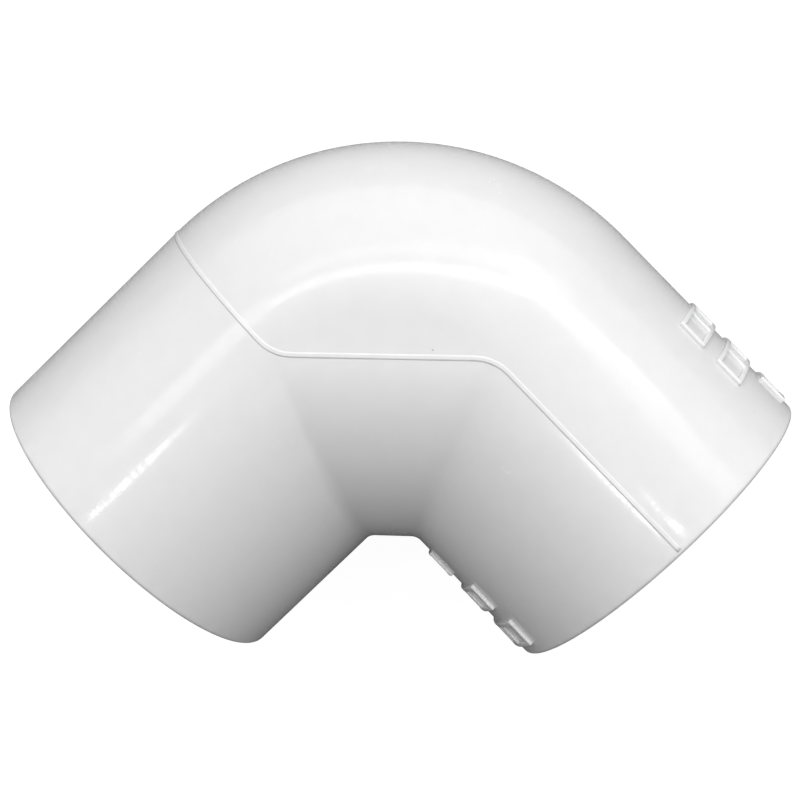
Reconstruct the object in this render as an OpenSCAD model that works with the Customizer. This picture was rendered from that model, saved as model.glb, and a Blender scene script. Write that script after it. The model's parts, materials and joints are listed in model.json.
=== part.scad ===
// Solid 90 degree elbow for rigid plastic conduit, moulded in one shot.
// Two equal sockets meet in a bend whose outside is as wide as the sockets.
// The design is drawn about the point where the two socket axes cross, with
// socket A along +X and socket B along +Y, and is then set down so that the
// origin is at the middle of its footprint, on the surface it lies on.

/* [Conduit and sockets] */
// Outside diameter of the conduit that the sockets take
conduit_od = 20; // [16:0.5:25]
// Radial clearance between the conduit and the socket bore
socket_clearance = 0.1; // [0.05:0.01:0.2]
// Wall thickness round each socket
socket_wall = 1.9; // [1.5:0.1:2.5]
// Depth and width of the lead-in chamfer at each mouth
lead_in = 0.4; // [0.2:0.1:0.8]
// Radius that eases the outer edge of each mouth
mouth_round = 0.3; // [0.1:0.05:0.5]

/* [Legs and bend] */
// Distance from the crossing of the axes to each mouth
leg_length = 25; // [20:0.5:40]
// Centre-line radius of the bend
bend_radius = 9.3; // [8:0.1:12]
// Inside diameter of the wire passage between the sockets
passage_diameter = 17; // [12:0.5:18]
// Thickness left between the two conduit stops at the throat
stop_web = 1.4; // [1:0.1:3]
// How far the throat sits below the crowns of the sockets
throat_drop = 0.04; // [0.02:0.01:0.1]

/* [Parting line] */
// Width of the raised line where the mould closes
bead_width = 0.18; // [0.1:0.01:0.4]
// Height of that line above the surface
bead_height = 0.06; // [0.03:0.01:0.15]

/* [Raised marks] */
// Height of the raised marks above the surface of socket B
mark_height = 0.25; // [0.1:0.05:0.4]
// Width of each raised stroke
mark_stroke = 0.32; // [0.2:0.02:0.4]
// Gap between one mark and the next along the socket
mark_gap = 1.1; // [0.8:0.1:1.5]
// Bare length between the mouth and the nearest mark
mouth_margin = 0.95; // [0.6:0.05:1.5]
// Bare length between the throat and the furthest mark
throat_margin = 1.3; // [0.8:0.1:2]
// Angle between the bars of a mark, round the socket
bar_spacing = 11; // [8:1:14]

/* [Hidden] */
$fn = 96;

bore_radius = conduit_od / 2 + socket_clearance;
outer_radius = bore_radius + socket_wall;
passage_radius = passage_diameter / 2;
stop_distance = bore_radius + stop_web;
// How far each mark reaches round the socket, each way, from the mouth inwards
outer_reach = [17, 36, 36];
inner_reach = [27, 24, 12];
rows = len(outer_reach);

// Angle between the straight throat and each leg
throat_angle = 45;
// The marks share the flank of socket B between the end of the throat and the mouth
throat_end = bend_radius + outer_radius * tan(throat_angle / 2);
flank = leg_length - mouth_margin - throat_end - throat_margin;
mark_length = (flank - (rows - 1) * mark_gap) / rows;
// Width of a mark's end strokes, which leave a window between them on a short mark too
end_stroke = min(mark_stroke, mark_length / 3);

// How far a cut runs past the surface that it opens
over = 1;
// Gap between two runs of the parting line
hairline = 0.02;
// A length well past the whole elbow
far = 4 * (leg_length + outer_radius);
plastic = [0.93, 0.93, 0.92];

// From the crossing of the axes to the middle of the footprint
footprint_shift = (leg_length - outer_radius) / 2;
// Height of the axes, with the elbow resting on its parting line
rest_height = outer_radius + bead_height;

module set_down() {
    translate([-footprint_shift, -footprint_shift, rest_height])
        children();
}

// Puts a shape drawn along +Z onto leg A, along +X
module on_leg_a() {
    rotate([0, 90, 0])
        children();
}

// Puts a shape drawn along +Z onto leg B, along +Y
module on_leg_b() {
    rotate([-90, 0, 0])
        children();
}

// A straight length of leg, with its edge at the mouth eased
module leg(radius) {
    rotate_extrude()
        union() {
            translate([0, bend_radius])
                square([radius - mouth_round, leg_length - bend_radius]);
            translate([0, bend_radius])
                square([radius, leg_length - bend_radius - mouth_round]);
            translate([radius - mouth_round, leg_length - mouth_round])
                circle(mouth_round);
        }
}

// A quarter turn about the centre of the bend, for a profile drawn outwards from that centre
module quarter_turn() {
    translate([bend_radius, bend_radius, 0])
        rotate([0, 0, 180])
            rotate_extrude(angle = 90)
                children();
}

// Everything outside the upright plane through the two ends of the bend
module outside_chord() {
    translate([bend_radius / 2, bend_radius / 2, 0])
        rotate([0, 0, throat_angle])
            translate([-far / 2, 0, 0])
                cube(far, center = true);
}

// The outside of the bend: round on its outer half, level across to the throat
module bend_block(radius) {
    intersection() {
        quarter_turn()
            union() {
                translate([0, -radius])
                    square([bend_radius, 2 * radius]);
                intersection() {
                    translate([bend_radius, 0])
                        circle(radius);
                    translate([bend_radius, -radius])
                        square([radius, 2 * radius]);
                }
            }
        outside_chord();
    }
}

// The throat: a straight run from one end of the bend to the other, just below the crowns
module throat_block(radius) {
    translate([0, bend_radius, 0])
        rotate([0, 0, -throat_angle])
            rotate([0, 90, 0])
                cylinder(bend_radius * sqrt(2), r = radius - throat_drop);
}

// The outside of the elbow
module outside(radius) {
    union() {
        on_leg_a()
            leg(radius);
        on_leg_b()
            leg(radius);
        bend_block(radius);
        throat_block(radius);
    }
}

// One socket, from its mouth to the shoulder that stops the conduit
module socket_bore() {
    translate([0, 0, stop_distance])
        cylinder(leg_length - stop_distance + over, r = bore_radius);
    translate([0, 0, leg_length - lead_in])
        cylinder(lead_in + over, r1 = bore_radius, r2 = bore_radius + lead_in + over);
}

// The wire passage between the sockets
module passage() {
    union() {
        on_leg_a()
            passage_run();
        on_leg_b()
            passage_run();
        quarter_turn()
            translate([bend_radius, 0])
                circle(passage_radius);
    }
}

// The straight end of the passage in one leg
module passage_run() {
    translate([0, 0, bend_radius])
        cylinder(leg_length - bend_radius + over, r = passage_radius);
}

module elbow_body() {
    color(plastic)
        set_down()
            difference() {
                outside(outer_radius);
                on_leg_a()
                    socket_bore();
                on_leg_b()
                    socket_bore();
                passage();
            }
}

// Part of a ring round the Z axis
module ring_sector(inner, outer, low, high, from_angle, to_angle) {
    translate([0, 0, low])
        rotate([0, 0, from_angle])
            rotate_extrude(angle = to_angle - from_angle)
                translate([inner, 0])
                    square([outer - inner, high - low]);
}

// The line along the crown of socket B
module crown_line(crown_angle) {
    half_angle = asin(bead_width / 2 / outer_radius);
    on_leg_b()
        ring_sector(outer_radius, outer_radius + bead_height, bend_radius, leg_length - mouth_round,
            crown_angle - half_angle, crown_angle + half_angle);
}

// The line across from one end of the bend to the other, above the throat, clear of the runs it meets
module chord_line() {
    trim = bead_width / 2 + hairline * sqrt(2);
    translate([0, bend_radius, outer_radius])
        rotate([0, 0, -throat_angle])
            translate([trim, -bead_width / 2, 0])
                cube([bend_radius * sqrt(2) - 2 * trim, bead_width, bead_height]);
}

// The line round the shoulder of socket A, on the outside of the bend
module shoulder_line() {
    on_leg_a()
        ring_sector(outer_radius, outer_radius + bead_height,
            bend_radius - bead_width / 2, bend_radius + bead_width / 2, -180, 0);
}

// The line where the mould closed, as separate runs a hairline apart
module parting_line() {
    color(plastic)
        set_down() {
            crown_line(-90);
            crown_line(90);
            chord_line();
            mirror([0, 0, 1])
                chord_line();
            shoulder_line();
        }
}

// One plain mark: a closed frame that reaches round the socket, with bars across it
module mark(reach) {
    half = mark_length / 2;
    inside = half - end_stroke;
    half_bar = asin(mark_stroke / 2 / outer_radius);
    windows = max(1, round(2 * (reach - half_bar) / bar_spacing));
    step = 2 * (reach - half_bar) / windows;
    difference() {
        ring_sector(outer_radius, outer_radius + mark_height, -half, half, -reach, reach);
        for (window = [0 : windows - 1]) {
            middle = (window - (windows - 1) / 2) * step;
            ring_sector(bore_radius, outer_radius + mark_height + over, -inside, inside,
                middle - step / 2 + half_bar, middle + step / 2 - half_bar);
        }
    }
}

// The marks along one side of socket B, the nearest to the mouth first
module mark_row(reaches) {
    for (row = [0 : rows - 1])
        translate([0, 0, leg_length - mouth_margin - mark_length / 2 - row * (mark_length + mark_gap)])
            mark(reaches[row]);
}

module outer_marks() {
    color(plastic)
        set_down()
            on_leg_b()
                rotate([0, 0, 180])
                    mark_row(outer_reach);
}

module inner_marks() {
    color(plastic)
        set_down()
            on_leg_b()
                mark_row(inner_reach);
}

elbow_body();
parting_line();
outer_marks();
inner_marks();
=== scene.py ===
"""Looks of a solid 90 degree elbow for rigid plastic conduit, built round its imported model.

The elbow is one white moulding. It lies on a pale floor with its two socket axes level, and a
raised line marks where its mould closed. Shapes are worked out in millimetres about the point
where the socket axes cross, with socket A along +X and socket B along +Y, and are then moved
into the row frame in metres.
"""

import json
import logging
import math
from dataclasses import dataclass
from enum import Enum

import bmesh
import bpy
import numpy as np
from mathutils import Matrix, Vector, noise


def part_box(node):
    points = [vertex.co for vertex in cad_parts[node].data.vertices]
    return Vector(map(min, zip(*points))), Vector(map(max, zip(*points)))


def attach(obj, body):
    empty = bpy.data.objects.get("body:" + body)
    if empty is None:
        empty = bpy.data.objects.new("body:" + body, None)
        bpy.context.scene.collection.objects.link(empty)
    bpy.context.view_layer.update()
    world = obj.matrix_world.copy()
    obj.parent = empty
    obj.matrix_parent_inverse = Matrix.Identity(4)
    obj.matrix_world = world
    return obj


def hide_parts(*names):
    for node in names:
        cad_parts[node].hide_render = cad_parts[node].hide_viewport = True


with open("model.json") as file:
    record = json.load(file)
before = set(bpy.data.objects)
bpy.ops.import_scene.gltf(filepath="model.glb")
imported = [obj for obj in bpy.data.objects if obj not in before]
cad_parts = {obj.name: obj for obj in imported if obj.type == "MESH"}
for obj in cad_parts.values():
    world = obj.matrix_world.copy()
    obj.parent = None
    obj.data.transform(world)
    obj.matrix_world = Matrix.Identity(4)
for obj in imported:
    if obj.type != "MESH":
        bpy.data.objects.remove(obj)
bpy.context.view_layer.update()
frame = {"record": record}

LOG = logging.getLogger("elbow")
MM = 0.001
BODY = "root"
WEAR = "wear"


class Slot(Enum):
    """The record's material slots, one for each finish."""

    PLASTIC = "moulded_pvc"
    FLASH = "mould_flash"
    MARKS = "raised_marks"


class Row(Enum):
    """The two rows of raised marks on socket B, by the side that they are on."""

    OUTER = "outer_marks"
    INNER = "inner_marks"


# How far each mark reaches round the socket, in degrees each way, from the mouth inwards
REACHES = {Row.OUTER: (17, 36, 36), Row.INNER: (27, 24, 12)}


@dataclass(frozen=True)
class ElbowSizes:
    """Driving sizes of the elbow, in millimetres."""

    crossing: Vector
    outer_radius: float
    leg_length: float
    bore_radius: float
    stop_distance: float
    lead_in: float
    bend_radius: float = 9.3
    passage_radius: float = 8.5
    mouth_round: float = 0.3

    @classmethod
    def from_frame(cls, record: dict) -> "ElbowSizes":
        """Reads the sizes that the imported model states.

        Args:
            record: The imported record, whose two bore mounts are the sockets.

        Returns:
            The sizes, with the crossing of the axes in the row frame.
        """
        mounts = {mount["name"]: mount for mount in record["mounts"]}
        socket_a = mounts["socket_a"]
        socket_b = mounts["socket_b"]
        crossing = Vector((socket_b["pos_m"][0], socket_a["pos_m"][1], socket_a["pos_m"][2])) / MM
        low, high = (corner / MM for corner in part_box("elbow_body"))
        leg_length = high.x - crossing.x
        half_wall = socket_a["dims"]["length_mm"] / 2
        middle = socket_a["pos_m"][0] / MM - crossing.x
        return cls(
            crossing=crossing,
            outer_radius=(high.z - low.z) / 2,
            leg_length=leg_length,
            bore_radius=socket_a["dims"]["r_mm"],
            stop_distance=middle - half_wall,
            lead_in=leg_length - middle - half_wall,
        )

    def place(self, points: np.ndarray) -> np.ndarray:
        """Moves points from about the crossing, in millimetres, into the row frame in metres."""
        return (points + np.array(self.crossing)) * MM


class Piece:
    """Turns arrays of points into finished pieces of the elbow."""

    @staticmethod
    def from_rings(name: str, rings: np.ndarray, closed: bool, wear: np.ndarray) -> bpy.types.Object:
        """Skins a row of rings with four-sided faces.

        Args:
            name: Name of the piece.
            rings: Points in the row frame, ring by ring, each ring a closed loop.
            closed: Whether the last ring joins the first. Open rows get a flat cap at each end.
            wear: How worn each ring is, from 0 to 1.

        Returns:
            The new object.
        """
        count, around = rings.shape[:2]
        index = np.arange(count * around).reshape(count, around)
        here = index if closed else index[:-1]
        after = np.roll(index, -1, axis=0) if closed else index[1:]
        faces = np.stack([here, np.roll(here, -1, axis=1), np.roll(after, -1, axis=1), after], axis=-1)
        polygons = faces.reshape(-1, 4).tolist()
        if not closed:
            polygons.append(index[0][::-1].tolist())
            polygons.append(index[-1].tolist())
        mesh = bpy.data.meshes.new(name)
        mesh.from_pydata(rings.reshape(-1, 3).tolist(), [], polygons)
        layer = mesh.attributes.new(WEAR, "FLOAT", "POINT")
        layer.data.foreach_set("value", np.repeat(wear, around).astype(np.float32))
        return Piece.from_mesh(name, mesh)

    @staticmethod
    def from_mesh(name: str, mesh: bpy.types.Mesh) -> bpy.types.Object:
        """Links a closed mesh as a smooth piece whose faces all look outwards.

        Args:
            name: Name of the piece.
            mesh: The closed mesh, in the row frame.

        Returns:
            The new object.
        """
        shape = bmesh.new()
        shape.from_mesh(mesh)
        bmesh.ops.recalc_face_normals(shape, faces=shape.faces)
        if shape.calc_volume(signed=True) < 0:
            bmesh.ops.reverse_faces(shape, faces=shape.faces)
        shape.to_mesh(mesh)
        shape.free()
        mesh.shade_smooth()
        piece = bpy.data.objects.new(name, mesh)
        bpy.context.scene.collection.objects.link(piece)
        return piece

    @staticmethod
    def finish(piece: bpy.types.Object, node: str, slot: Slot, material: bpy.types.Material) -> None:
        """Lets a piece stand for its node and gives it its finish.

        Args:
            piece: The piece.
            node: The node that it replaces.
            slot: The record's slot, named in the log line.
            material: The finish.
        """
        piece.data.materials.clear()
        piece.data.materials.append(material)
        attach(piece, BODY)
        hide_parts(node)
        faces = len(piece.data.polygons)
        LOG.info("%s: %d faces, finish %s", piece.name, faces, slot.value)


def rounded_corner(before: np.ndarray, corner: np.ndarray, after: np.ndarray, radius: float) -> list:
    """Rounds one corner of a line.

    Args:
        before: The point before the corner.
        corner: The corner.
        after: The point after it.
        radius: Radius of the arc.

    Returns:
        Points along the arc, from its start to its end.
    """
    steps = 5
    inward = (before - corner) / np.linalg.norm(before - corner)
    onward = (after - corner) / np.linalg.norm(after - corner)
    half_angle = math.acos(float(np.clip(inward @ onward, -1, 1))) / 2
    reach = radius / math.tan(half_angle)
    middle = inward + onward
    centre = corner + middle / np.linalg.norm(middle) * radius / math.sin(half_angle)
    start = corner + inward * reach - centre
    end = corner + onward * reach - centre
    sweep = math.pi - 2 * half_angle
    arc = []
    for step in range(steps + 1):
        share = step / steps
        weights = (math.sin((1 - share) * sweep), math.sin(share * sweep))
        arc.append(centre + (start * weights[0] + end * weights[1]) / math.sin(sweep))
    return arc


def filled_in(points: list, longest: float) -> list:
    """Adds points along the straight parts of a line.

    Args:
        points: The line's points.
        longest: The longest step that may be left.

    Returns:
        The line with no step longer than that.
    """
    full = [points[0]]
    for start, end in zip(points, points[1:]):
        parts = max(1, math.ceil(float(np.linalg.norm(end - start)) / longest - 1e-9))
        full += [start + (end - start) * part / parts for part in range(1, parts + 1)]
    return full


@dataclass
class ElbowBody:
    """The moulding: two sockets, the bend and the throat, with the bores and the wire passage.

    Its skin is a row of rings, one for each upright section. Sections stand square to the legs,
    fan round the bend so that one lies in each crease beside the throat, and run back inside.
    """

    sizes: ElbowSizes
    around: int = 224
    crease_round: float = 0.3
    lip_round: float = 0.1
    lead_in_round: float = 0.4
    stop_foot_round: float = 0.15
    stop_edge_round: float = 0.25
    fan_stand_off: float = 1.0
    crease_fade: float = 0.3
    crease_turn: float = 22.5
    leg_turn_step: float = 1.25
    throat_turn_step: float = 1.0
    leg_step: float = 0.7
    fine_step: float = 0.14
    step_growth: float = 0.2
    search_steps: int = 48
    passage_rings: int = 33
    waviness: float = 0.012
    wave_scale: float = 0.16
    rim_wear: float = 0.5

    @property
    def angles(self) -> np.ndarray:
        """Angles round each ring, from the outside of the bend over the top."""
        return np.arange(self.around) * 2 * math.pi / self.around

    def skin_gap(self, points: np.ndarray, inner_side: np.ndarray) -> np.ndarray:
        """Signed distance from points to the outside of the elbow, below zero within it.

        Args:
            points: Points about the crossing.
            inner_side: True for points on the throat's side of the spine.

        Returns:
            The distances.
        """
        radius = self.sizes.outer_radius
        bend = self.sizes.bend_radius
        x, y, z = points[..., 0], points[..., 1], points[..., 2]
        leg_a = np.hypot(y, z) - radius
        leg_b = np.hypot(x, z) - radius
        past_chord = (x + y - bend) / math.sqrt(2)
        throat = np.hypot(past_chord, z) - radius
        crown_drop = np.clip((radius - np.abs(z)) / (self.crease_fade * radius), 0, 1)
        softness = self.crease_round * crown_drop**2 * (3 - 2 * crown_drop) + 1e-6
        inner = self.soft_union(self.soft_union(leg_a, throat, softness), leg_b, softness)
        from_centre = np.hypot(x - bend, y - bend) - bend
        turn = np.hypot(np.maximum(from_centre, 0), z) - radius
        outer = np.where(x >= bend, leg_a, np.where(y >= bend, leg_b, turn))
        return np.where(inner_side, inner, outer)

    @staticmethod
    def soft_union(first: np.ndarray, second: np.ndarray, softness: np.ndarray) -> np.ndarray:
        """Joins two distances with a fillet where they meet.

        Args:
            first: Distances to one shape.
            second: Distances to the other.
            softness: How far the fillet reaches.

        Returns:
            Distances to both as one shape.
        """
        share = np.clip(0.5 + 0.5 * (second - first) / softness, 0, 1)
        return second + (first - second) * share - softness * share * (1 - share)

    def sections(self) -> tuple:
        """Lays out the upright sections of the outside, from mouth A to mouth B.

        Returns:
            Each section's place on the spine and its outward direction, both in plan.
        """
        sizes = self.sizes
        crease = math.radians(self.crease_turn)
        throat_end = sizes.bend_radius + sizes.outer_radius * math.tan(crease)
        corner = np.array([throat_end, sizes.outer_radius])
        crease_line = np.array([math.sin(crease), math.cos(crease)])
        near_apex = corner + crease_line * self.fan_stand_off
        to_middle = (corner[0] - corner[1]) / (crease_line[1] - crease_line[0])
        far_apex = corner + crease_line * to_middle
        places = []
        station = sizes.leg_length - sizes.mouth_round
        while station > near_apex[0] + self.fine_step / 2:
            places.append((np.array([station, 0.0]), np.array([0.0, -1.0])))
            ahead = station - near_apex[0]
            station -= min(self.leg_step, self.fine_step + self.step_growth * ahead)
        for turn in np.arange(0.0, self.crease_turn, self.leg_turn_step):
            tilt = math.radians(turn)
            outward = np.array([-math.sin(tilt), -math.cos(tilt)])
            places.append((near_apex + outward * near_apex[1] / math.cos(tilt), outward))
        for turn in np.arange(self.crease_turn, 2 * self.crease_turn, self.throat_turn_step):
            tilt = math.radians(turn)
            outward = np.array([-math.sin(tilt), -math.cos(tilt)])
            reach = (far_apex.sum() - sizes.bend_radius) / (math.sin(tilt) + math.cos(tilt))
            places.append((far_apex + outward * reach, outward))
        half = len(places)
        middle = np.array([sizes.bend_radius / 2] * 2)
        places.append((middle, -middle / np.linalg.norm(middle)))
        places += [(place[::-1], outward[::-1]) for place, outward in reversed(places[:half])]
        return np.array([place for place, _ in places]), np.array([outward for _, outward in places])

    def outside_rings(self) -> np.ndarray:
        """Finds the outside by casting a fan of rays from the spine in each section.

        Returns:
            The rings' points about the crossing.
        """
        places, outward = self.sections()
        cosine, sine = np.cos(self.angles), np.sin(self.angles)
        rays = np.zeros((len(places), self.around, 3))
        rays[..., :2] = outward[:, None, :] * cosine[None, :, None]
        rays[..., 2] = sine
        starts = np.zeros((len(places), 1, 3))
        starts[:, 0, :2] = places
        inner_side = np.broadcast_to(cosine < -1e-9, rays.shape[:2])
        low = np.zeros(rays.shape[:2])
        high = np.full(rays.shape[:2], 3 * self.sizes.outer_radius)
        for _ in range(self.search_steps):
            middle = (low + high) / 2
            within = self.skin_gap(starts + rays * middle[..., None], inner_side) < 0
            low = np.where(within, middle, low)
            high = np.where(within, high, middle)
        surface = starts + rays * low[..., None]
        return surface - rays * (self.waviness * self.ripple(surface))[..., None]

    def ripple(self, surface: np.ndarray) -> np.ndarray:
        """Gives the slight unevenness of a moulded wall, from 0 to 1."""
        flat = surface.reshape(-1, 3)
        values = np.array([noise.noise(Vector(point) * self.wave_scale) for point in flat])
        return np.clip(0.5 + 0.5 * values, 0, 1).reshape(surface.shape[:2])

    def bore_line(self) -> list:
        """Draws one leg's edge from its outside round the mouth and in to the bend.

        Returns:
            Points as distance along the leg and radius.
        """
        sizes = self.sizes
        leg, bore = sizes.leg_length, sizes.bore_radius
        corners = [
            (leg, sizes.outer_radius, sizes.mouth_round),
            (leg, bore + sizes.lead_in, self.lip_round),
            (leg - sizes.lead_in, bore, self.lead_in_round),
            (sizes.stop_distance, bore, self.stop_foot_round),
            (sizes.stop_distance, sizes.passage_radius, self.stop_edge_round),
        ]
        start = (leg - 2 * sizes.mouth_round, sizes.outer_radius)
        end = (sizes.bend_radius, sizes.passage_radius)
        stops = [start, *[corner[:2] for corner in corners], end]
        line = []
        for place, (_, _, radius) in enumerate(corners, start=1):
            line += rounded_corner(*[np.array(stop) for stop in stops[place - 1 : place + 2]], radius)
        return filled_in([*line, np.array(end)], self.leg_step)[1:]

    def ring(self, place: np.ndarray, outward: np.ndarray, radius: float) -> np.ndarray:
        """Draws one round ring.

        Args:
            place: Middle of the ring in plan.
            outward: Its outward direction in plan.
            radius: Its radius.

        Returns:
            Its points about the crossing.
        """
        points = np.zeros((self.around, 3))
        points[:, :2] = place + np.outer(np.cos(self.angles) * radius, outward)
        points[:, 2] = np.sin(self.angles) * radius
        return points

    def inside_rings(self) -> tuple:
        """Runs from mouth B in through its bore, round the passage and out at mouth A.

        Returns:
            The rings' points about the crossing, and how worn each ring is.
        """
        sizes = self.sizes
        bend = sizes.bend_radius
        line = self.bore_line()
        leg_b = [self.ring(np.array([0.0, along]), np.array([-1.0, 0.0]), radius) for along, radius in line]
        leg_a = [self.ring(np.array([along, 0.0]), np.array([0.0, -1.0]), radius) for along, radius in line]
        turn = []
        for angle in np.linspace(-180, -90, self.passage_rings)[1:-1]:
            outward = np.array([math.cos(math.radians(angle)), math.sin(math.radians(angle))])
            turn.append(self.ring(np.array([bend, bend]) + outward * bend, outward, sizes.passage_radius))
        edge = [float(along > sizes.leg_length - sizes.lead_in) for along, _ in line]
        wear = [*edge, *[0.0] * len(turn), *reversed(edge)]
        return np.array([*leg_b, *turn, *reversed(leg_a)]), np.array(wear)

    def build(self) -> bpy.types.Object:
        """Builds the moulding as one closed skin."""
        outside = self.outside_rings()
        inside, inside_wear = self.inside_rings()
        rings = self.sizes.place(np.concatenate([outside, inside]))
        outside_wear = np.zeros(len(outside))
        outside_wear[[0, -1]] = self.rim_wear
        wear = np.concatenate([outside_wear, inside_wear])
        return Piece.from_rings("elbow_moulding", rings, True, wear)

    def dress(self, piece: bpy.types.Object, material: bpy.types.Material) -> None:
        """Gives the moulding its finish."""
        Piece.finish(piece, "elbow_body", Slot.PLASTIC, material)


@dataclass
class PartingLine:
    """The raised line where the mould closed, over socket B, the throat and shoulder A."""

    sizes: ElbowSizes
    width: float = 0.34
    height: float = 0.05
    sunk: float = 0.06
    shoulder: float = 0.5
    corner_round: float = 2.8
    step: float = 0.25
    across_points: int = 17
    unevenness: float = 0.12
    wave_scale: float = 0.9
    wear: float = 0.4

    def upper_run(self) -> list:
        """Follows the line from mouth B along the crown and the throat to shoulder A, in plan."""
        sizes = self.sizes
        mouth = np.array([0.0, sizes.leg_length - sizes.mouth_round])
        bend_b = np.array([0.0, sizes.bend_radius])
        bend_a = np.array([sizes.bend_radius, 0.0])
        beyond = np.array([sizes.bend_radius, -self.corner_round])
        line = [mouth]
        line += rounded_corner(mouth, bend_b, bend_a, self.corner_round)
        line += rounded_corner(bend_b, bend_a, beyond, self.corner_round)
        return filled_in(line, self.step)

    def path(self) -> tuple:
        """Follows the whole line over the top, round the shoulder and back underneath.

        Returns:
            The line's points about the crossing and the way out of the surface at each.
        """
        radius = self.sizes.outer_radius
        upper = self.upper_run()
        last = -upper[-1][1]
        points = [np.array([x, y, math.sqrt(radius**2 - min(y, 0.0) ** 2)]) for x, y in upper]
        ways = [
            np.array([0.0, min(y, 0.0) / radius, point[2] / radius])
            for (_, y), point in zip(upper, points)
        ]
        first_angle = math.asin(last / radius)
        turns = np.linspace(first_angle, math.pi / 2, math.ceil(radius * math.pi / 2 / self.step))[1:]
        for turn in turns:
            way = np.array([0.0, -math.sin(turn), math.cos(turn)])
            points.append(way * radius + np.array([self.sizes.bend_radius, 0.0, 0.0]))
            ways.append(way)
        under = np.array([1.0, 1.0, -1.0])
        points += [point * under for point in reversed(points[:-1])]
        ways += [way * under for way in reversed(ways[:-1])]
        return np.array(points), np.array(ways)

    def build(self) -> bpy.types.Object:
        """Sweeps a low flat-topped strip along the line."""
        points, ways = self.path()
        along = np.gradient(points, axis=0)
        along /= np.linalg.norm(along, axis=1)[:, None]
        across = np.cross(along, ways)
        across /= np.linalg.norm(across, axis=1)[:, None]
        spread = np.linspace(-1, 1, self.across_points)
        rise = np.clip((1 - np.abs(spread)) / self.shoulder, 0, 1)
        crown = rise**2 * (3 - 2 * rise)
        waves = np.array([noise.noise(Vector(point) * self.wave_scale) for point in points])
        uneven = 1 - self.unevenness + self.unevenness * waves
        half = self.width / 2
        top = (
            points[:, None]
            + across[:, None] * (spread * half)[None, :, None]
            + ways[:, None] * (crown[None, :] * (self.height * uneven)[:, None])[..., None]
        )
        base = [points + across * side * half - ways * self.sunk for side in (1, -1)]
        rings = np.concatenate([top, np.stack(base, axis=1)], axis=1)
        return Piece.from_rings("mould_line", self.sizes.place(rings), False, np.full(len(rings), self.wear))

    def dress(self, piece: bpy.types.Object, material: bpy.types.Material) -> None:
        """Gives the line its finish."""
        Piece.finish(piece, "parting_line", Slot.FLASH, material)


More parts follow.
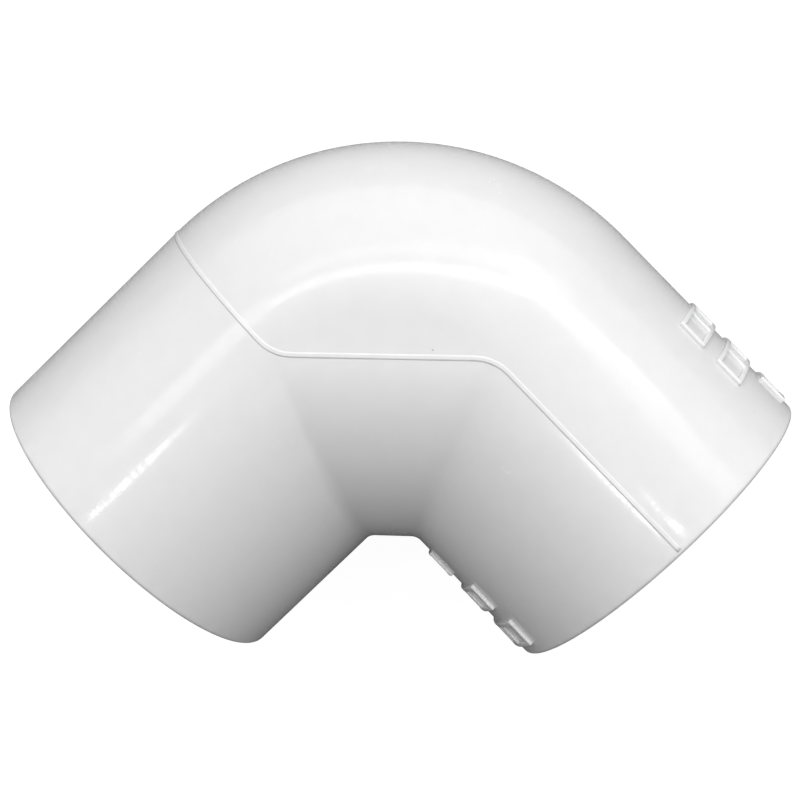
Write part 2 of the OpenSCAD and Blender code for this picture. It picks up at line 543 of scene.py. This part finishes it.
@dataclass
class RaisedMarks:
    """One row of plain raised frames on a side of socket B, the nearest to the mouth first."""

    sizes: ElbowSizes
    row: Row
    reaches: tuple
    stroke: float = 0.32
    gap: float = 1.1
    bar_spacing: float = 11.0
    sunk: float = 0.08
    edge_round: float = 0.09
    edge_segments: int = 3
    sharp_angle: float = 40.0
    window_parts: int = 4
    softness: float = 0.12
    unevenness: float = 2.0
    wear: float = 0.5

    def extent(self) -> tuple:
        """Reads where the row lies from its node.

        Returns:
            The row's low and high end along the socket, and its height above the surface.
        """
        low, high = (corner / MM - self.sizes.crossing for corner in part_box(self.row.value))
        side = high.x if self.row is Row.INNER else -low.x
        return low.y, high.y, side - self.sizes.outer_radius

    def frame_cells(self, reach: float, length: float) -> tuple:
        """Lays one frame out flat, as a grid with windows.

        Args:
            reach: How far the frame reaches each way round the socket, in degrees.
            length: Its length along the socket.

        Returns:
            The grid's lines round the socket, its lines along the socket, and the columns of
            cells that are windows between the end strokes.
        """
        radius = self.sizes.outer_radius
        half_bar = math.degrees(math.asin(self.stroke / 2 / radius))
        windows = max(1, round(2 * (reach - half_bar) / self.bar_spacing))
        step = 2 * (reach - half_bar) / windows
        lines = [-reach]
        open_columns = []
        for window in range(windows):
            middle = (window - (windows - 1) / 2) * step
            start, end = middle - step / 2 + half_bar, middle + step / 2 - half_bar
            parts = self.window_parts
            open_columns += range(len(lines), len(lines) + parts)
            lines += [start + (end - start) * part / parts for part in range(parts + 1)]
        lines.append(reach)
        arc = [math.radians(line) * radius for line in lines]
        half = length / 2
        return arc, [-half, -half + self.stroke, half - self.stroke, half], open_columns

    def flat_frame(self, reach: float, length: float, height: float) -> bmesh.types.BMesh:
        """Builds one frame on the flat, with eased edges.

        Args:
            reach: How far it reaches each way round the socket, in degrees.
            length: Its length along the socket.
            height: Its height above the surface.

        Returns:
            The frame, with its way round the socket along X and its height along Z.
        """
        arc, lengths, open_columns = self.frame_cells(reach, length)
        shape = bmesh.new()
        grid = [[shape.verts.new((across, along, -self.sunk)) for along in lengths] for across in arc]
        for column in range(len(arc) - 1):
            for cell in range(len(lengths) - 1):
                if cell == 1 and column in open_columns:
                    continue
                near, far = grid[column], grid[column + 1]
                shape.faces.new((near[cell], far[cell], far[cell + 1], near[cell + 1]))
        lifted = bmesh.ops.extrude_face_region(shape, geom=shape.faces[:])
        raised = [part for part in lifted["geom"] if isinstance(part, bmesh.types.BMVert)]
        bmesh.ops.translate(shape, vec=(0, 0, height + self.sunk), verts=raised)
        bmesh.ops.recalc_face_normals(shape, faces=shape.faces)
        sharp = [edge for edge in shape.edges if edge.calc_face_angle(0.0) > math.radians(self.sharp_angle)]
        sharp = [edge for edge in sharp if max(vert.co.z for vert in edge.verts) > 0]
        bmesh.ops.bevel(
            shape,
            geom=sharp,
            offset=self.edge_round,
            segments=self.edge_segments,
            profile=0.5,
            affect="EDGES",
            clamp_overlap=True,
        )
        return shape

    def wrap(self, point: Vector, middle: float) -> Vector:
        """Bends a point of a flat frame round the socket.

        Args:
            point: The flat point.
            middle: Where the frame's middle is along the socket.

        Returns:
            The point in the row frame.
        """
        sizes = self.sizes
        side = 1.0 if self.row is Row.INNER else -1.0
        angle = point.x / sizes.outer_radius
        place = Vector((0.0, middle + point.y, 0.0))
        where = Vector((point.x, middle + point.y, side))
        uneven = 0.5 + 0.5 * noise.noise(where * self.unevenness)
        dip = self.softness * max(point.z, 0.0) * uneven
        out = sizes.outer_radius + point.z - dip
        place += Vector((side * math.cos(angle) * out, 0.0, math.sin(angle) * out))
        return (place + sizes.crossing) * MM

    def build(self) -> bpy.types.Object:
        """Builds the row of frames as one piece."""
        low, high, height = self.extent()
        rows = len(self.reaches)
        length = (high - low - (rows - 1) * self.gap) / rows
        whole = bmesh.new()
        mesh = bpy.data.meshes.new(self.row.value)
        for row, reach in enumerate(self.reaches):
            middle = high - length / 2 - row * (length + self.gap)
            shape = self.flat_frame(reach, length, height)
            for vert in shape.verts:
                vert.co = self.wrap(vert.co, middle)
            shape.to_mesh(mesh)
            shape.free()
            whole.from_mesh(mesh)
        whole.to_mesh(mesh)
        whole.free()
        layer = mesh.attributes.new(WEAR, "FLOAT", "POINT")
        layer.data.foreach_set("value", np.full(len(mesh.vertices), self.wear, np.float32))
        return Piece.from_mesh(f"{self.row.value}_relief", mesh)

    def dress(self, piece: bpy.types.Object, material: bpy.types.Material) -> None:
        """Gives the row its finish."""
        Piece.finish(piece, self.row.value, Slot.MARKS, material)


class Graph:
    """Adds nodes to a shader tree and joins them."""

    def __init__(self, tree: bpy.types.NodeTree) -> None:
        """Starts on a tree."""
        self.tree = tree

    def add(self, kind: str, inputs: dict | None = None, **settings) -> bpy.types.Node:
        """Adds a node.

        Args:
            kind: The node's type.
            inputs: Values or other nodes' sockets for its inputs, by name or number.
            **settings: Properties of the node.

        Returns:
            The node.
        """
        node = self.tree.nodes.new(kind)
        for name, value in settings.items():
            setattr(node, name, value)
        for name, value in (inputs or {}).items():
            if isinstance(value, bpy.types.NodeSocket):
                self.tree.links.new(value, node.inputs[name])
            else:
                node.inputs[name].default_value = value
        return node

    def math(self, operation: str, first: object, second: object = 0.0) -> bpy.types.NodeSocket:
        """Adds a sum of one or two values, kept from 0 to 1.

        Args:
            operation: The kind of sum.
            first: A value or a socket.
            second: A value or a socket.

        Returns:
            The result's socket.
        """
        node = self.add("ShaderNodeMath", {0: first, 1: second}, operation=operation, use_clamp=True)
        return node.outputs[0]

    def ramp(
        self, value: object, low: float, high: float, start: float = 0.0, end: float = 1.0
    ) -> bpy.types.NodeSocket:
        """Eases a value from one range to another.

        Args:
            value: The value's socket.
            low: Where the range starts.
            high: Where it ends.
            start: The result at its start.
            end: The result at its end.

        Returns:
            The result's socket.
        """
        inputs = {"Value": value, "From Min": low, "From Max": high, "To Min": start, "To Max": end}
        return self.add("ShaderNodeMapRange", inputs, interpolation_type="SMOOTHSTEP").outputs["Result"]

    def noise(
        self, vector: object, scale: object, detail: float = 2.0, rough: float = 0.5
    ) -> bpy.types.NodeSocket:
        """Adds a cloudy pattern.

        Args:
            vector: Where it is read.
            scale: How fine it is, in cells to the metre.
            detail: How many finer layers it has.
            rough: How strong they are.

        Returns:
            The pattern's socket.
        """
        inputs = {"Vector": vector, "Scale": scale, "Detail": detail, "Roughness": rough}
        return self.add("ShaderNodeTexNoise", inputs).outputs["Fac"]


class Effect:
    """A surface effect as a shader node group, built once and placed in each finish."""

    name = "effect"
    inputs: dict = {}
    outputs: tuple = ()

    @classmethod
    def tree(cls) -> bpy.types.NodeTree:
        """Returns the group, and builds it the first time."""
        found = bpy.data.node_groups.get(cls.name)
        if found:
            return found
        group = bpy.data.node_groups.new(cls.name, "ShaderNodeTree")
        group.interface.new_socket(name="Vector", in_out="INPUT", socket_type="NodeSocketVector")
        for name, value in cls.inputs.items():
            socket = group.interface.new_socket(name=name, in_out="INPUT", socket_type="NodeSocketFloat")
            socket.default_value = value
        for name in cls.outputs:
            group.interface.new_socket(name=name, in_out="OUTPUT", socket_type="NodeSocketFloat")
        graph = Graph(group)
        entry = graph.add("NodeGroupInput")
        made = cls.draw(graph, entry.outputs)
        graph.add("NodeGroupOutput", made)
        return group

    @classmethod
    def draw(cls, graph: Graph, given: bpy.types.NodeOutputs) -> dict:
        """Draws the effect and returns the socket for each output."""
        raise NotImplementedError

    @classmethod
    def place(cls, graph: Graph, vector: object, **values: object) -> bpy.types.NodeOutputs:
        """Places the effect in a finish.

        Args:
            graph: The finish's graph.
            vector: Where the effect is read.
            **values: The finish's own values, with a low line for each space in an input's name.

        Returns:
            The effect's outputs.
        """
        inputs = {name.replace("_", " "): value for name, value in values.items()}
        node = graph.add("ShaderNodeGroup", node_tree=cls.tree())
        for name, value in {"Vector": vector, **inputs}.items():
            if isinstance(value, bpy.types.NodeSocket):
                graph.tree.links.new(value, node.inputs[name])
            else:
                node.inputs[name].default_value = value
        return node.outputs


class MouldedGrain(Effect):
    """The fine grain and slow ripple that a steel mould leaves, and the mottle in its gloss."""

    name = "Moulded grain"
    inputs = {"Grain Scale": 3000.0, "Ripple Scale": 260.0, "Mottle Scale": 700.0}
    outputs = ("Height", "Mottle")
    grain_share = 0.35

    @classmethod
    def draw(cls, graph: Graph, given: bpy.types.NodeOutputs) -> dict:
        """Draws the grain."""
        grain = graph.noise(given["Vector"], given["Grain Scale"], 3.0, 0.6)
        ripple = graph.noise(given["Vector"], given["Ripple Scale"], 2.0)
        quiet = graph.math("MULTIPLY", grain, cls.grain_share)
        slow = graph.math("MULTIPLY", ripple, 1 - cls.grain_share)
        mottle = graph.noise(given["Vector"], given["Mottle Scale"], 4.0, 0.62)
        return {"Height": graph.math("ADD", quiet, slow), "Mottle": graph.ramp(mottle, 0.3, 0.7)}


class DrawnLines(Effect):
    """Hairlines round each socket, left where the moulding was drawn off its core and wiped.

    The larger of X and Y runs along the nearer socket, so the lines lie across both sockets.
    """

    name = "Drawn lines"
    inputs = {"Line Scale": 9000.0, "Stretch": 0.08}
    outputs = ("Height", "Dull")

    @classmethod
    def draw(cls, graph: Graph, given: bpy.types.NodeOutputs) -> dict:
        """Draws the lines."""
        parts = graph.add("ShaderNodeSeparateXYZ", {0: given["Vector"]}).outputs
        along = graph.add("ShaderNodeMath", {0: parts["X"], 1: parts["Y"]}, operation="MAXIMUM").outputs[0]
        across = graph.add("ShaderNodeMath", {0: parts["X"], 1: parts["Y"]}, operation="MINIMUM").outputs[0]
        narrow = [
            graph.add("ShaderNodeMath", {0: part, 1: given["Stretch"]}, operation="MULTIPLY").outputs[0]
            for part in (across, parts["Z"])
        ]
        where = graph.add("ShaderNodeCombineXYZ", {"X": along, "Y": narrow[0], "Z": narrow[1]}).outputs[0]
        lines = graph.noise(where, given["Line Scale"], 2.0, 0.6)
        return {"Height": lines, "Dull": graph.ramp(lines, 0.48, 0.58)}


class HandlingMarks(Effect):
    """Hairline scratches and dull scuffs from handling."""

    name = "Handling marks"
    inputs = {"Scratch Scale": 240.0, "Scuff Scale": 150.0, "Scratch Width": 0.012}
    outputs = ("Scratches", "Scuffs")
    directions = ((35.0, 0.1), (-50.0, 0.14))
    tilt = (0.3, 0.2)
    patch_scale = 420.0

    @classmethod
    def draw(cls, graph: Graph, given: bpy.types.NodeOutputs) -> dict:
        """Draws the marks."""
        layers = []
        for turn, stretch in cls.directions:
            lie = (*cls.tilt, math.radians(turn))
            settings = {"Vector": given["Vector"], "Rotation": lie, "Scale": (1.0, stretch, 1.0)}
            mapping = graph.add("ShaderNodeMapping", settings)
            lines = graph.add(
                "ShaderNodeTexVoronoi",
                {"Vector": mapping.outputs[0], "Scale": given["Scratch Scale"]},
                feature="DISTANCE_TO_EDGE",
            )
            near = graph.math("LESS_THAN", lines.outputs["Distance"], given["Scratch Width"])
            patch = graph.ramp(graph.noise(mapping.outputs[0], cls.patch_scale), 0.55, 0.68)
            layers.append(graph.math("MULTIPLY", near, patch))
        scuffs = graph.ramp(graph.noise(given["Vector"], given["Scuff Scale"], 5.0, 0.7), 0.52, 0.72)
        return {"Scratches": graph.math("MAXIMUM", *layers), "Scuffs": scuffs}


class Specks(Effect):
    """Rare dark specks of dust and burnt plastic in the surface."""

    name = "Specks"
    inputs = {"Speck Scale": 700.0, "Speck Size": 0.045, "Share": 0.05}
    outputs = ("Mask",)

    @classmethod
    def draw(cls, graph: Graph, given: bpy.types.NodeOutputs) -> dict:
        """Draws the specks."""
        settings = {"Vector": given["Vector"], "Scale": given["Speck Scale"]}
        cells = graph.add("ShaderNodeTexVoronoi", settings)
        near = graph.math("LESS_THAN", cells.outputs["Distance"], given["Speck Size"])
        pick = graph.add("ShaderNodeSeparateColor", {"Color": cells.outputs["Color"]})
        rare = graph.math("LESS_THAN", pick.outputs["Red"], given["Share"])
        return {"Mask": graph.math("MULTIPLY", near, rare)}


class EdgeWear(Effect):
    """Rubbed edges, broken up by a cloudy pattern."""

    name = "Edge wear"
    inputs = {"Edge": 0.0, "Breakup Scale": 900.0}
    outputs = ("Mask",)

    @classmethod
    def draw(cls, graph: Graph, given: bpy.types.NodeOutputs) -> dict:
        """Draws the wear."""
        breakup = graph.ramp(graph.noise(given["Vector"], given["Breakup Scale"], 4.0, 0.65), 0.35, 0.65)
        return {"Mask": graph.math("MULTIPLY", given["Edge"], breakup)}


@dataclass(frozen=True)
class MouldedPlastic:
    """Glossy white rigid plastic as it comes from the mould."""

    name: str
    shade: tuple = (0.745, 0.745, 0.745)
    shade_low: tuple = (0.73, 0.73, 0.73)
    rubbed: tuple = (0.8, 0.8, 0.8)
    speck: tuple = (0.5, 0.49, 0.48)
    gloss_low: float = 0.07
    gloss_high: float = 0.11
    drawn: float = 0.26
    scuffed: float = 0.3
    grain_depth: float = 0.000004
    line_depth: float = 0.0000017
    scratch_depth: float = 0.0000015
    refraction: float = 1.53

    def material(self) -> bpy.types.Material:
        """Builds the finish.

        Returns:
            The material.
        """
        made = bpy.data.materials.new(self.name)
        made.use_nodes = True
        made.node_tree.nodes.clear()
        graph = Graph(made.node_tree)
        where = graph.add("ShaderNodeTexCoord").outputs["Object"]
        edge = graph.add("ShaderNodeAttribute", attribute_name=WEAR).outputs["Fac"]
        grain = MouldedGrain.place(graph, where)
        lines = DrawnLines.place(graph, where)
        marks = HandlingMarks.place(graph, where)
        specks = Specks.place(graph, where)
        rubbed = EdgeWear.place(graph, where, Edge=edge)
        mottle, dull, scuffs = grain["Mottle"], lines["Dull"], marks["Scuffs"]
        shader = graph.add(
            "ShaderNodeBsdfPrincipled",
            {
                "Base Color": self.colour(graph, mottle, specks["Mask"], rubbed["Mask"]),
                "Roughness": self.roughness(graph, mottle, dull, scuffs, rubbed["Mask"]),
                "Normal": self.relief(graph, grain["Height"], lines["Height"], marks["Scratches"]),
                "IOR": self.refraction,
            },
        )
        graph.add("ShaderNodeOutputMaterial", {"Surface": shader.outputs[0]})
        return made

    def colour(self, graph: Graph, mottle: object, specks: object, rubbed: object) -> bpy.types.NodeSocket:
        """Mixes the shades of white, the rubbed edges and the specks.

        Args:
            graph: The finish's graph.
            mottle: Mask of the lighter shade.
            specks: Mask of the specks.
            rubbed: Mask of the rubbed edges.

        Returns:
            The colour's socket.
        """
        layers = ((mottle, self.shade), (rubbed, self.rubbed), (specks, self.speck))
        colour = (*self.shade_low, 1.0)
        for mask, over in layers:
            mix = graph.add("ShaderNodeMix", data_type="RGBA")
            graph.tree.links.new(mask, mix.inputs[0])
            if isinstance(colour, bpy.types.NodeSocket):
                graph.tree.links.new(colour, mix.inputs[6])
            else:
                mix.inputs[6].default_value = colour
            mix.inputs[7].default_value = (*over, 1.0)
            colour = mix.outputs[2]
        return colour

    def roughness(
        self, graph: Graph, mottle: object, lines: object, scuffs: object, rubbed: object
    ) -> bpy.types.NodeSocket:
        """Varies the gloss with the mottle, the drawn lines, the scuffs and the rubbed edges.

        Args:
            graph: The finish's graph.
            mottle: Mask of the duller patches.
            lines: Mask of the drawn lines.
            scuffs: Mask of the scuffs.
            rubbed: Mask of the rubbed edges.

        Returns:
            The roughness's socket.
        """
        clean = graph.ramp(mottle, 0.0, 1.0, self.gloss_low, self.gloss_high)
        worn = graph.math("MULTIPLY", graph.math("MAXIMUM", scuffs, rubbed), self.scuffed - self.gloss_high)
        drawn = graph.math("MULTIPLY", lines, self.drawn - self.gloss_high)
        return graph.math("ADD", clean, graph.math("MAXIMUM", worn, drawn))

    def relief(self, graph: Graph, grain: object, lines: object, scratches: object) -> bpy.types.NodeSocket:
        """Presses the grain, the drawn lines and the scratches into the surface.

        Args:
            graph: The finish's graph.
            grain: Height of the grain.
            lines: Height of the drawn lines.
            scratches: Mask of the scratches.

        Returns:
            The normal's socket.
        """
        first = graph.add("ShaderNodeBump", {"Height": grain, "Distance": self.grain_depth})
        drawn = graph.add(
            "ShaderNodeBump", {"Height": lines, "Distance": self.line_depth, "Normal": first.outputs[0]}
        )
        cut = graph.add(
            "ShaderNodeBump",
            {"Height": scratches, "Distance": self.scratch_depth, "Normal": drawn.outputs[0]},
            invert=True,
        )
        return cut.outputs[0]


class LampShape(Enum):
    """The outlines that a lamp can have."""

    RECTANGLE = "RECTANGLE"
    ELLIPSE = "ELLIPSE"


@dataclass(frozen=True)
class Lamp:
    """One soft light, placed by the way to it from the elbow: right and up in the view, and height."""

    name: str
    way: tuple
    size: tuple
    power: float
    turn: float = 0.0
    shape: LampShape = LampShape.RECTANGLE
    distance: float = 0.6


@dataclass(frozen=True)
class Glow:
    """A soft brightening of the room towards one way: right and up in the view, and height."""

    way: tuple
    start: float
    strength: float


LAMPS = (
    Lamp("window", (0.25, 0.66, 1.0), (0.84, 0.06), 0.6, 16.0),
    Lamp("window_above", (0.2, 0.98, 1.0), (0.84, 0.08), 0.25, 16.0),
    Lamp("window_right", (0.95, 0.85, 1.0), (0.36, 0.16), 0.24, -46.0),
    Lamp("window_left", (-0.57, 0.36, 1.0), (0.16, 0.10), 0.12, 43.8),
    Lamp("streak_left", (-0.40, -0.04, 1.0), (0.075, 0.045), 0.085, 43.8, LampShape.ELLIPSE),
    Lamp("streak_right", (0.091, -0.138, 1.0), (0.06, 0.024), 0.08, -46.0, LampShape.ELLIPSE),
    Lamp("streak_far_right", (0.283, -0.055, 1.0), (0.035, 0.045), 0.055, -46.0, LampShape.ELLIPSE),
)
GLOWS = (
    Glow((0.0, 1.0, 0.8), 0.0, 1.1),
    Glow((0.6, 0.3, 1.0), 0.2, 0.3),
)


@dataclass
class Studio:
    """The pale floor, the soft lights and the camera, which looks almost straight down."""

    target: Vector
    floor_reach: float = 3.0
    eye: tuple = (1.077, 9.932, 83.133)
    back: tuple = (-0.0645, 0.0384, 0.9972)
    up: tuple = (-0.6917, -0.7220, -0.0169)
    field_of_view: float = 36.46
    sensor_width: float = 36.0
    nearest: float = 0.001
    floor_shade: float = 0.12
    floor_glow: float = 0.95
    floor_bounce: float = 0.15
    sky: float = 0.12

    def camera(self) -> None:
        """Sets the camera above the elbow, with the bend towards the top of the view."""
        back = Vector(self.back).normalized()
        right = Vector(self.up).cross(back).normalized()
        up = back.cross(right)
        data = bpy.data.cameras.new("camera")
        data.sensor_width = self.sensor_width
        data.lens = data.sensor_width / 2 / math.tan(math.radians(self.field_of_view / 2))
        data.clip_start = self.nearest
        camera = bpy.data.objects.new("camera", data)
        turned = Matrix((right, up, back)).transposed()
        camera.matrix_world = Matrix.LocRotScale((self.target + Vector(self.eye)) * MM, turned, None)
        bpy.context.scene.collection.objects.link(camera)
        bpy.context.scene.camera = camera

    def floor(self) -> None:
        """Lays the floor under the elbow.

        The camera sees it pale. It throws back less light than it shows, so that the underside
        of the elbow keeps its shading.
        """
        reach = self.floor_reach
        mesh = bpy.data.meshes.new("floor")
        corners = [(-reach, -reach, 0), (reach, -reach, 0), (reach, reach, 0), (-reach, reach, 0)]
        mesh.from_pydata(corners, [], [(0, 1, 2, 3)])
        floor = bpy.data.objects.new("floor", mesh)
        bpy.context.scene.collection.objects.link(floor)
        made = bpy.data.materials.new("studio_floor")
        made.use_nodes = True
        made.node_tree.nodes.clear()
        graph = Graph(made.node_tree)
        seen = graph.add("ShaderNodeLightPath").outputs["Is Camera Ray"]
        pale = graph.add("ShaderNodeBsdfDiffuse", {"Color": (*[self.floor_shade] * 3, 1.0)})
        glow = graph.add("ShaderNodeEmission", {"Color": (1, 1, 1, 1), "Strength": self.floor_glow})
        shown = graph.add("ShaderNodeAddShader", {0: pale.outputs[0], 1: glow.outputs[0]})
        quiet = graph.add("ShaderNodeBsdfDiffuse", {"Color": (*[self.floor_bounce] * 3, 1.0)})
        either = graph.add("ShaderNodeMixShader", {0: seen, 1: quiet.outputs[0], 2: shown.outputs[0]})
        graph.add("ShaderNodeOutputMaterial", {"Surface": either.outputs[0]})
        mesh.materials.append(made)

    def level_axes(self) -> tuple:
        """Returns the level directions that are the view's right and up."""
        right = Vector(self.up).cross(Vector(self.back))
        right.z = 0
        right.normalize()
        return right, Vector((0, 0, 1)).cross(right)

    def towards(self, way: tuple) -> Vector:
        """Turns a way given as right and up in the view, and height, into a direction."""
        right, up = self.level_axes()
        return (right * way[0] + up * way[1] + Vector((0, 0, way[2]))).normalized()

    def hang(self, lamp: Lamp) -> None:
        """Hangs one soft light, facing the elbow."""
        data = bpy.data.lights.new(lamp.name, "AREA")
        data.shape = lamp.shape.value
        data.size, data.size_y = lamp.size
        data.energy = lamp.power
        light = bpy.data.objects.new(lamp.name, data)
        towards = self.towards(lamp.way)
        level = self.level_axes()[0]
        side = (level - towards * level.dot(towards)).normalized()
        turned = Matrix((side, towards.cross(side), towards)).transposed()
        turned = turned @ Matrix.Rotation(math.radians(lamp.turn), 3, "Z")
        light.matrix_world = Matrix.LocRotScale(self.target * MM + towards * lamp.distance, turned, None)
        bpy.context.scene.collection.objects.link(light)

    def room(self) -> None:
        """Lights the room evenly and lets it glow softly towards some ways.

        The camera sees the room as pale as the floor.
        """
        world = bpy.data.worlds.new("studio")
        world.use_nodes = True
        world.node_tree.nodes.clear()
        graph = Graph(world.node_tree)
        way = graph.add("ShaderNodeTexCoord").outputs["Generated"]
        total = self.sky
        for glow in GLOWS:
            pair = {0: way, 1: self.towards(glow.way)}
            dot = graph.add("ShaderNodeVectorMath", pair, operation="DOT_PRODUCT")
            bright = graph.ramp(dot.outputs["Value"], glow.start, 1.0, 0.0, glow.strength)
            total = graph.add("ShaderNodeMath", {0: bright, 1: total}, operation="ADD").outputs[0]
        seen = graph.add("ShaderNodeLightPath").outputs["Is Camera Ray"]
        glowing = graph.add("ShaderNodeBackground", {"Color": (1, 1, 1, 1), "Strength": total})
        pale = graph.add("ShaderNodeBackground", {"Color": (1, 1, 1, 1), "Strength": self.floor_glow})
        either = graph.add("ShaderNodeMixShader", {0: seen, 1: glowing.outputs[0], 2: pale.outputs[0]})
        graph.add("ShaderNodeOutputWorld", {"Surface": either.outputs[0]})
        bpy.context.scene.world = world

    def lights(self) -> None:
        """Hangs the lights and lights the room."""
        for lamp in LAMPS:
            self.hang(lamp)
        self.room()
        bpy.context.scene.view_settings.view_transform = "Standard"


def main() -> None:
    """Builds the elbow piece by piece and sets up the studio."""
    logging.basicConfig(level=logging.INFO, format="%(name)s: %(message)s")
    sizes = ElbowSizes.from_frame(frame["record"])
    plastic = MouldedPlastic("moulded_plastic").material()
    flash = MouldedPlastic("mould_flash").material()
    # Painted highlight: the raised marks get a lighter copy of the moulded plastic, standing in for the
    # light that catches their raised strokes
    bright, painted_highlight_low = (0.86, 0.86, 0.86), (0.82, 0.82, 0.82)
    relief = MouldedPlastic("raised_relief", shade=bright, shade_low=painted_highlight_low).material()
    body = ElbowBody(sizes)
    body.dress(body.build(), plastic)
    line = PartingLine(sizes)
    line.dress(line.build(), flash)
    for row, reaches in REACHES.items():
        marks = RaisedMarks(sizes, row, reaches)
        marks.dress(marks.build(), relief)
    studio = Studio(sizes.crossing)
    studio.floor()
    studio.lights()
    studio.camera()


if __name__ == "__main__":
    main()
